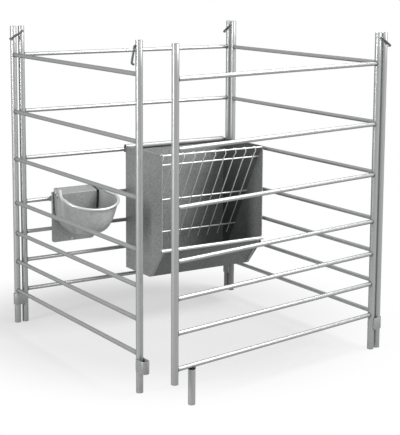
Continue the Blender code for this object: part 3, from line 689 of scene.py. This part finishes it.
# ---- Hay feeder: galvanised sheet, folded and spot-welded. The back sheet hooks over the third
# rail, the trough sheet makes floor, sloping front and rolled lip, and two plates close the sides.
# Each side plate has a hemmed edge and a flange that laps over the outside of the sloping front.
SHEET = 0.0015
FEEDER_LEFT = 0.471
FEEDER_RIGHT = 0.971
FEEDER_BOTTOM = 0.168
FEEDER_RAIL = RAIL_HEIGHTS[2]
FOLD = RAIL_RADIUS + 0.0003 + SHEET / 2
FEEDER_FRONT = -FOLD - 0.300
FEEDER_TOP = FEEDER_RAIL + 0.016
LIP_TOP = 0.304
FOLD_HEIGHT = FEEDER_RAIL + 0.010
FLOOR_LINE = FEEDER_BOTTOM + SHEET / 2
FLOOR_FRONT = -FOLD - 0.200
ROLL_RADIUS = 0.0075
ROLL_CENTRE = np.array([FEEDER_FRONT - 0.0015, LIP_TOP - ROLL_RADIUS])
LIP_OVERHANG = 0.005
HEM_RADIUS = 0.0016
FLANGE_WIDTH = 0.014
SIDE_GAP = 0.0003
HEM_SEAT = 0.0008

# One coat in three tones: clean, darker on the right plate and darker in the trough, both painted
# shade
SHEET_COAT = {"roughness": 0.5, "metallic": 0.25, "crystals": 190, "contrast": 0.34, "grain": 0.14,
              "bump": 0.12}
sheet_zinc = galvanised_finish("sheet_zinc", (0.258, 0.266, 0.263), **SHEET_COAT)
shaded_plate_zinc = galvanised_finish("shaded_plate_zinc", (0.20, 0.207, 0.204), **SHEET_COAT)
shaded_trough_zinc = galvanised_finish("shaded_trough_zinc", (0.15, 0.155, 0.152), **SHEET_COAT)
# Lighter copies of the coat, a painted highlight: one for the rolled lip, the rim, the bolt and the
# pins, one for the fold over the rail, the hems and the flanges
highlight_zinc = galvanised_finish("highlight_zinc", (0.62, 0.63, 0.625), 0.34, 0.4, 300, 0.08, 0.06, 0.08)
highlight_fold_zinc = galvanised_finish("highlight_fold_zinc", (0.33, 0.34, 0.335), 0.42, 0.3, 300, 0.10, 0.08, 0.08)

# A painted shadow darkens the right plate behind the rack, past a line sloping down from a top (y,
# z)
RACK_SLOPE = math.radians(28.5)
RACK_SHADOW_TOP = (-0.304, 0.691)
RACK_SHADOW_EDGE = (-0.002, 0.006)
RACK_SHADOW_TONE = (0.03, 0.03, 0.028, 1)
RACK_SHADOW_SHARE = 0.62


def paint_rack_shadow(finish):
    """Paint a shadow on a plate's inner side where y - top > fall x tan(slope), which is behind the
    rack.
    """
    tree = finish.node_tree
    shader = tree.nodes["Principled BSDF"]
    clean = shader.inputs["Base Color"].links[0].from_socket
    apart = add_node(tree, "ShaderNodeSeparateXYZ")
    feed(tree, apart.inputs, (add_node(tree, "ShaderNodeTexCoord").outputs["Object"],))
    origin = post_axis("back_left_post")
    behind = math_node(tree, "SUBTRACT", apart.outputs["Y"], float(origin[1]) + RACK_SHADOW_TOP[0])
    below = math_node(tree, "SUBTRACT", RACK_SHADOW_TOP[1], apart.outputs["Z"])
    line = math_node(tree, "MULTIPLY", below, math.tan(RACK_SLOPE))
    past = math_node(tree, "SUBTRACT", behind, line)
    inner = math_node(tree, "LESS_THAN", apart.outputs["X"],
                      float(origin[0]) + FEEDER_RIGHT - SHEET / 2)
    share = math_node(tree, "MULTIPLY", spread(tree, past, *RACK_SHADOW_EDGE, 0, RACK_SHADOW_SHARE), inner)
    feed(tree, (shader.inputs["Base Color"],), (mix_colours(tree, share, clean, RACK_SHADOW_TONE),))


paint_rack_shadow(shaded_plate_zinc)


def arc_line(centre, radius, start, end, steps):
    """Points on an arc in the (y, z) plane, its angles in degrees."""
    angle = np.radians(np.linspace(start, end, steps))
    return np.array(centre) + radius * np.stack([np.cos(angle), np.sin(angle)], axis=1)


def folded_sheet(line, thickness, left, right):
    """A bent sheet: a line of (y, z), set off by half the thickness on both sides, along x."""
    along = np.gradient(line, axis=0)
    along /= np.linalg.norm(along, axis=1, keepdims=True)
    across = np.stack([along[:, 1], -along[:, 0]], axis=1) * thickness / 2
    loop = np.concatenate([line + across, (line - across)[::-1]])
    x = np.linspace(left, right, 6)[:, None] + 0 * loop[:, 0]
    return np.stack([x, 0 * x + loop[:, 0], 0 * x + loop[:, 1]], axis=-1)


def eased_line(corners, radius, steps=6):
    """A line of (y, z) points whose corners are rounded."""
    return eased_path([(0, y, z) for y, z in corners], radius, steps)[:, 1:]


def blob(centre, radii, sides=12):
    """A drop of weld metal: point = centre + radii x (cos u cos v, sin u cos v, sin v)."""
    rise = np.radians(np.linspace(-86, 86, 8))[:, None]
    turn = np.linspace(0, 2 * np.pi, sides, endpoint=False)[None, :]
    unit = np.stack([np.cos(turn) * np.cos(rise), np.sin(turn) * np.cos(rise),
                     np.sin(rise) + 0 * turn], axis=-1)
    return np.array(centre) + unit * np.array(radii)


def add_feeder_piece(name, shells, stands_for, finishes):
    """A piece of the back hurdle's feeder or bowl, from shells in the hurdle's own frame."""
    build_piece(name, [(placed(grid, "back"), looped, finish_number, 0.0)
                       for grid, looped, finish_number in shells], "pen", stands_for,
                finishes)


# The fold over the rail is drawn lighter, a painted highlight, and a dark rod under it paints the
# shadow in the crease
fold_line = np.concatenate([[(FOLD, FEEDER_RAIL - 0.014)],
                            arc_line((-0.0012, FOLD_HEIGHT), FOLD + 0.0012, 0, 238, 44)])
back_line = np.array([(-FOLD, FOLD_HEIGHT - 0.0085), (-FOLD, FEEDER_BOTTOM + SHEET + 0.0003)])
inner_ends = (FEEDER_LEFT + SHEET + SIDE_GAP, FEEDER_RIGHT - SHEET - SIDE_GAP)
crease_shadow_line = np.linspace(*inner_ends, 6)[:, None] * (1, 0, 0) + (0, -FOLD - 0.0010,
                                                                FOLD_HEIGHT - 0.0100)
add_feeder_piece("feeder_back_sheet",
                 [(folded_sheet(fold_line, SHEET, *inner_ends), False, 1),
                  (folded_sheet(back_line, SHEET, *inner_ends), False, 0),
                  (round_rod(crease_shadow_line, 0.0017, 8, np.array([0, 0, 1.0]), 0.1), False, 2)],
                 ["feeder_back"], [sheet_zinc, highlight_fold_zinc, painted_shade_black])

roll = arc_line(ROLL_CENTRE, ROLL_RADIUS - SHEET / 2, -25, 262, 40)
slope = eased_line([(-FOLD + SHEET / 2, FLOOR_LINE), (FLOOR_FRONT, FLOOR_LINE), roll[0]], 0.004)
add_feeder_piece("feeder_trough_sheet",
                 [(folded_sheet(slope, SHEET, *inner_ends), False, 0),
                  (folded_sheet(roll, SHEET, FEEDER_LEFT - LIP_OVERHANG,
                                FEEDER_RIGHT + LIP_OVERHANG), False, 1)],
                 ["feeder_trough"], [shaded_trough_zinc, highlight_zinc])

LIP_NOTCH = ROLL_CENTRE[0] + ROLL_RADIUS + 0.0006
SLOPE_TOP = LIP_TOP - 2 * ROLL_RADIUS - 0.004
notch_share = (LIP_NOTCH - FEEDER_FRONT) / (FLOOR_FRONT - FEEDER_FRONT)
slope_run = (slope[-1] - slope[-2]) / np.linalg.norm(slope[-1] - slope[-2])
slope_out = np.array([-slope_run[1], slope_run[0]])
side_outline = np.array([(-FOLD + SHEET / 2, FEEDER_BOTTOM), (-FOLD + SHEET / 2, FEEDER_TOP),
                         (FEEDER_FRONT, FEEDER_TOP), (FEEDER_FRONT, LIP_TOP + 0.0012),
                         (LIP_NOTCH, LIP_TOP + 0.0012),
                         (LIP_NOTCH, SLOPE_TOP + (FEEDER_BOTTOM - SLOPE_TOP) * notch_share),
                         (FLOOR_FRONT, FEEDER_BOTTOM)])
for node, left, sign in (("feeder_left_side", FEEDER_LEFT, 1),
                         ("feeder_right_side", FEEDER_RIGHT - SHEET, -1)):
    plate = np.stack([np.concatenate([np.full((len(side_outline), 1), x), side_outline], axis=1)
                      for x in (left, left + SHEET)])
    middle = left + SHEET / 2
    hem = eased_path([(middle, FEEDER_FRONT + HEM_SEAT, LIP_TOP + 0.004),
                      (middle, FEEDER_FRONT + HEM_SEAT, FEEDER_TOP - HEM_SEAT),
                      (middle, -FOLD - 0.002, FEEDER_TOP - HEM_SEAT)], 0.003)
    flange_line = slope[[-1, -2]] + (slope[-1] - slope[-2]) * ((-0.06,), (0.03,))
    flange_line = flange_line + slope_out * (SHEET + 0.0002)
    ends = sorted((middle, middle + sign * FLANGE_WIDTH))
    shells = [(plate, False, 0), (round_rod(hem, HEM_RADIUS, 10, np.array([1.0, 0, 0])), False, 1),
              (folded_sheet(flange_line, SHEET, *ends), False, 1)]
    add_feeder_piece(node + "_plate", shells, [node],
                     [shaded_plate_zinc if sign < 0 else sheet_zinc, highlight_fold_zinc])


# ---- Hay rack: four 6 mm rods between the side plates and ten 4 mm wires welded across them, each
# hooked over the top rod. The hay lies behind it.
ROD_RADIUS = 0.003
WIRE_RADIUS = 0.002
ROD_STEPS = (0.0, 0.049, 0.234, 0.4145)
WIRE_LENGTH = 0.460
WIRE_LIFT = ROD_RADIUS + WIRE_RADIUS - 0.0008
WIRE_HOOK = 1.08 * WIRE_LIFT
WIRE_STEP = 0.0508
HOOK_ASLANT = 0.010
RACK_TOP = np.array([0, FEEDER_FRONT + 0.005, FEEDER_TOP - 0.005])
RACK_DOWN = np.array([0, math.sin(RACK_SLOPE), -math.cos(RACK_SLOPE)])
RACK_FORWARD = np.array([0, -math.cos(RACK_SLOPE), -math.sin(RACK_SLOPE)])
ACROSS = np.array([1.0, 0, 0])
# The rods and wires are drawn nearly white, a painted highlight
highlight_wire_zinc = galvanised_finish("highlight_wire_zinc", (0.84, 0.85, 0.845), 0.36, 0.35, 300, 0.08, 0.06, 0.1)


def rack_point(x, down, forward):
    """Places on the rack: so far across, down its slope and in front of its rods' axes."""
    x, down, forward = (np.array(part)[..., None] for part in (x, down, forward))
    return ACROSS * x + RACK_TOP + RACK_DOWN * down + RACK_FORWARD * forward


def wire_shell(x, lean):
    """A wire from behind the top rod, over it and aslant to a small knee, and down the slope.

    Over the rod: an arc by angle a, its x moving evenly from the hook's end towards the wire.
    """
    over = np.radians(np.linspace(225, 50, 14))
    hook = rack_point(x - HOOK_ASLANT * np.linspace(1, 0.5, 14), -WIRE_HOOK * np.sin(over),
                      WIRE_HOOK * np.cos(over))
    knee = rack_point(x + np.array([-0.2 * HOOK_ASLANT, 0, 0.5 * lean, lean]),
                      (0.0070, 0.0125, 0.0175, 0.0260), (0.0068, 0.0078, 0.0070, 0.0046))
    foot = rack_point(x + lean, (0.036, 0.15, 0.30, WIRE_LENGTH), WIRE_LIFT)
    return round_rod(np.concatenate([hook, knee, foot]), WIRE_RADIUS, 10, ACROSS)


END_WELD = (0.0026, 0.0044, 0.0044)
CROSSING_WELD = (0.0031, 0.0024, 0.0026)
rack_shells = []
wire_places = FEEDER_RIGHT - 0.035 - WIRE_STEP * np.arange(10)
for step in ROD_STEPS:
    rod = rack_point((inner_ends[0], 0.6, 0.85, inner_ends[1]), step, 0)
    rack_shells.append((round_rod(rod, ROD_RADIUS, 16, np.array([0, 0, 1.0]), 0.1), False, 0))
    for x in (FEEDER_LEFT + 0.0035, FEEDER_RIGHT - 0.0035):
        rack_shells.append((blob(rack_point(x, step, 0.0006), END_WELD), False, 1))
for number, x in enumerate(wire_places):
    lean = 0.0012 * math.sin(2.3 * number)
    rack_shells.append((wire_shell(x, lean), False, 0))
    for step in ROD_STEPS[1:]:
        rack_shells.append((blob(rack_point(x + lean, step, 0.0024), CROSSING_WELD, 10), False, 1))
add_feeder_piece("hay_rack_rods", rack_shells, ["hay_rack"], [highlight_wire_zinc, weld_zinc])


# ---- Drinking bowl: pressed from 2 mm sheet, with a rolled rim, welded to a back plate whose two
# straps hook over the fourth rail. A folded cover with a tapering flap guards the valve behind it.
# The straps are drawn near black, a painted shade.
BOWL_RAIL = RAIL_HEIGHTS[3]
BOWL_CENTRE = (POST_RADIUS + FEEDER_LEFT) / 2 - 0.0238
PLATE_BACK = -RAIL_RADIUS - 0.0003
PLATE_FRONT = PLATE_BACK - 0.002
PLATE_HALF = 0.098
PLATE_TOP = BOWL_RAIL + 0.029
PLATE_BOTTOM = PLATE_TOP - 0.213
RIM_HEIGHT = BOWL_RAIL + 0.015
NECK_HALF = 0.088
NECK_LENGTH = 0.062
BOWL_HALF = 0.116
BOWL_WIDEST = 0.1575
BOWL_MIDDLE = 0.070
BOWL_LENGTH = 0.254
NECK_RISE = 0.0235
NECK_FALL = 0.006
RIM_FALL = 0.0325
BOWL_DEPTH = 0.161
BOWL_WALL = 0.002
BEAD = 0.0056
BOWL_GAP = 0.0003
BOWL_COAT = {"crystals": 190, "contrast": 0.24, "grain": 0.10, "bump": 0.12}
bowl_zinc = galvanised_finish("bowl_zinc", (0.405, 0.415, 0.41), 0.46, 0.3, **BOWL_COAT)
cover_zinc = galvanised_finish("cover_zinc", (0.28, 0.288, 0.284), 0.55, 0.15, **BOWL_COAT)
shaded_strap_zinc = galvanised_finish("shaded_strap_zinc", (0.09, 0.093, 0.09), 0.6, 0.2, 190, 0.20, 0.10, 0.12)


def rim_line(inset):
    """The rim from the plate round the front to the plate, as (x, reach, height) from the centre.

    Straight beside the cover, then width = neck + (half - neck) sin u, then half an ellipse. Its
    height falls from the plate, with the swing outwards, and on to the front.
    """
    neck = np.linspace(0, 1, 7)[:-1, None] * (0, NECK_LENGTH, -NECK_FALL)
    neck = neck + (NECK_HALF - inset, 0, RIM_HEIGHT + NECK_RISE + NECK_FALL)
    swing = np.linspace(0, np.pi / 2, 17)[:-1]
    flare = np.stack([NECK_HALF - inset + (BOWL_HALF - NECK_HALF) * np.sin(swing),
                      NECK_LENGTH + (BOWL_WIDEST - NECK_LENGTH) * swing / (np.pi / 2),
                      RIM_HEIGHT + NECK_RISE * (1 - np.sin(swing))], axis=1)
    turn = np.linspace(0, np.pi / 2, 19)
    front = np.stack([(BOWL_HALF - inset) * np.cos(turn),
                      BOWL_WIDEST + (BOWL_LENGTH - inset - BOWL_WIDEST) * np.sin(turn),
                      RIM_HEIGHT - RIM_FALL * np.sin(turn)], axis=1)
    half = np.concatenate([neck, flare, front])
    return np.concatenate([half * (-1, 1, 1), half[-2::-1]])


def bowl_surface(shares, inset, lift):
    """The bowl's levels, v from rim to bottom. Each wall draws in by (1 - v^fullness)^round.

    Sideways the fullness is 4 at the plate and falls to 1 where the bowl is widest. Lengthwise the
    front and the back wall draw in towards the bowl's deepest place.
    """
    x, reach, height = rim_line(inset).T
    v = np.array(shares)[:, None]
    fullness = 1 + 3.0 * np.cos(np.pi / 2 * np.minimum(1, reach / BOWL_WIDEST))
    depth = height - v * (height - (RIM_HEIGHT - BOWL_DEPTH + lift))
    front, rear = (1 - v ** 5.5) ** 1.05, (1 - v ** 4.0) ** 0.8
    run = BOWL_MIDDLE + (reach - BOWL_MIDDLE) * np.where(reach > BOWL_MIDDLE, front, rear)
    return np.stack([BOWL_CENTRE + x * (1 - v ** fullness) ** 0.49,
                     PLATE_FRONT - BOWL_GAP - np.maximum(run, lift), depth], axis=-1)


def bowl_piece(name, shells, stands_for, finishes):
    """One of the bowl's pieces, in the back hurdle's frame."""
    add_feeder_piece(name, shells, stands_for, finishes)


levels = 1 - (1 - np.linspace(0, 1, 26)[:-1]) ** 1.6
shell = np.concatenate([bowl_surface(levels[::-1], 0, 0),
                        bowl_surface(levels, BOWL_WALL, BOWL_WALL)])
bowl_piece("drinking_bowl_shell", [(shell, False, 0)], ["drinking_bowl"], [bowl_zinc])

# The rim bead takes the lightest copy of the coat, a painted highlight
rim_path = rim_line(-0.0008)
rim_path = rim_path[rim_path[:, 1] >= NECK_LENGTH - 1e-6]
rim_path = rim_path * (1, -1, 1) + (BOWL_CENTRE, PLATE_FRONT - BOWL_GAP, BEAD + BOWL_GAP)
bowl_piece("bowl_rim_bead", [(round_rod(rim_path, BEAD, 16, np.array([0, 0, 1.0]), 0.5), False, 0)],
           ["bowl_rim"], [highlight_zinc])

ROUND = 0.012
plate_line = np.concatenate([
    [(-PLATE_HALF, PLATE_TOP), (PLATE_HALF, PLATE_TOP)],
    arc_line((PLATE_HALF - ROUND, PLATE_BOTTOM + ROUND), ROUND, 0, -90, 8),
    arc_line((ROUND - PLATE_HALF, PLATE_BOTTOM + ROUND), ROUND, -90, -180, 8)])
plate = np.stack([np.stack([BOWL_CENTRE + plate_line[:, 0], 0 * plate_line[:, 0] + y,
                            plate_line[:, 1]], axis=1) for y in (PLATE_BACK, PLATE_FRONT)])
BOLT_HEAD = ((0.0001, 0), (0.0052, 0), (0.0052, 0.0022), (0.0030, 0.0038), (0.0001, 0.0040))
BOLT_PLACE = (BOWL_CENTRE - 0.0065, PLATE_FRONT, 0.3245)
bolt = turned(BOLT_HEAD, 6)
bolt = np.stack([bolt[..., 0], -bolt[..., 2], bolt[..., 1]], axis=-1)
plate_shells = [(plate, False, 0), (bolt + BOLT_PLACE, False, 1)]
EAR_REACH = 0.008
for side in (-1, 1):
    outer, inner = side * PLATE_HALF, side * (PLATE_HALF - SHEET)
    ear = np.array([(outer, 0), (outer, -EAR_REACH), (inner, -EAR_REACH), (inner, 0)])
    ear = np.stack([np.concatenate([ear + (BOWL_CENTRE, PLATE_FRONT), np.full((4, 1), z)], axis=1)
                    for z in (PLATE_TOP - 0.090, PLATE_TOP - 0.001)])
    plate_shells.append((ear, False, 0))
bowl_piece("bowl_plate_sheet", plate_shells, ["bowl_plate"], [bowl_zinc, highlight_zinc])

STRAP_THICKNESS = 0.003
STRAP_HALF = 0.011
STRAP_GAP = 0.0018
strap_line = np.concatenate([arc_line((0, BOWL_RAIL), RAIL_RADIUS + STRAP_GAP, 160, 0, 30),
                             [(RAIL_RADIUS + STRAP_GAP, BOWL_RAIL - 0.012)]])
strap_line[:, 0] = np.maximum(strap_line[:, 0], PLATE_BACK + STRAP_GAP)
for node, side in (("bowl_strap_left", -1), ("bowl_strap_right", 1)):
    middle = BOWL_CENTRE + side * (PLATE_HALF - STRAP_HALF)
    strap = folded_sheet(strap_line, STRAP_THICKNESS, middle - STRAP_HALF, middle + STRAP_HALF)
    bowl_piece(node + "_bar", [(strap, False, 0)], [node], [shaded_strap_zinc])

# The right half of the cover, from the lip at its back over its roof and down its flap
COVER_DEPTH = 0.062
COVER_TOP = RIM_HEIGHT + 0.029
cover_back = PLATE_FRONT - BOWL_WALL - 0.0006 - SHEET / 2
cover_front = PLATE_FRONT - COVER_DEPTH
cover_line = eased_path([(0.079, cover_back, COVER_TOP - 0.010), (0.079, cover_back, COVER_TOP),
                         (0.085, cover_front, COVER_TOP - 0.014),
                         (0.080, cover_front, COVER_TOP - 0.089)], 0.0028, 7)
bend = np.gradient(cover_line[:, 1:], axis=0)
bend /= np.linalg.norm(bend, axis=1, keepdims=True)
across = np.stack([0 * bend[:, 0], bend[:, 1], -bend[:, 0]], axis=1) * SHEET / 2
mirror = np.array([-1.0, 1, 1])
cover = np.stack([cover_line * mirror + across, cover_line + across, cover_line - across,
                  cover_line * mirror - across], axis=1) + (BOWL_CENTRE, 0, 0)
cover_shells = [(cover, False, 0)]

# Two pins hold the cover on each side, their heads a painted highlight. Below each is an empty
# hole, drawn as a flat dark disc of painted shade.
PIN_PLACES = ((0.020, 0.529), (0.034, 0.520))
PIN_SEAT = 0.0878
PIN_PARTS = ((0.0052, 0.0036, 0, 1), (0.0036, 0.0008, 0.0090, 2))
for side in (-1, 1):
    for reach, height in PIN_PLACES:
        for radius, thick, drop, finish_number in PIN_PARTS:
            pin = turned([(0.0001, 0), (radius, 0), (radius * 0.9, thick * 0.6),
                          (0.0001, thick)], 12)
            pin = np.stack([side * (PIN_SEAT + pin[..., 2]), pin[..., 0], pin[..., 1]], axis=-1)
            cover_shells.append((pin + (BOWL_CENTRE, PLATE_FRONT - reach, height - drop), False,
                                 finish_number))

# A dark rod in the gap between the cover's right edge and the bowl paints the shadow there. Along
# the flap it is a little thicker and sits further in and forward.
gap_shadow_line = cover_line + (BOWL_CENTRE + 0.0016, 0, 0.0004)
FLAP_SHADOW_SHIFT = (-0.0030, -0.0028, 0)
bend_row = len(gap_shadow_line) // 2
for line, radius in ((gap_shadow_line[:bend_row + 1], 0.0030),
                     (gap_shadow_line[bend_row:] + FLAP_SHADOW_SHIFT, 0.0031)):
    cover_shells.append((round_rod(line, radius, 8, ACROSS), False, 2))
painted_shadow_black = new_finish("painted_shadow_black", {"Base Color": (0.022, 0.022, 0.021, 1),
                                             "Roughness": 0.8, "Specular IOR Level": 0.2})[0]
bowl_piece("valve_cover_sheet", cover_shells, ["valve_cover"],
           [cover_zinc, highlight_zinc, painted_shadow_black])
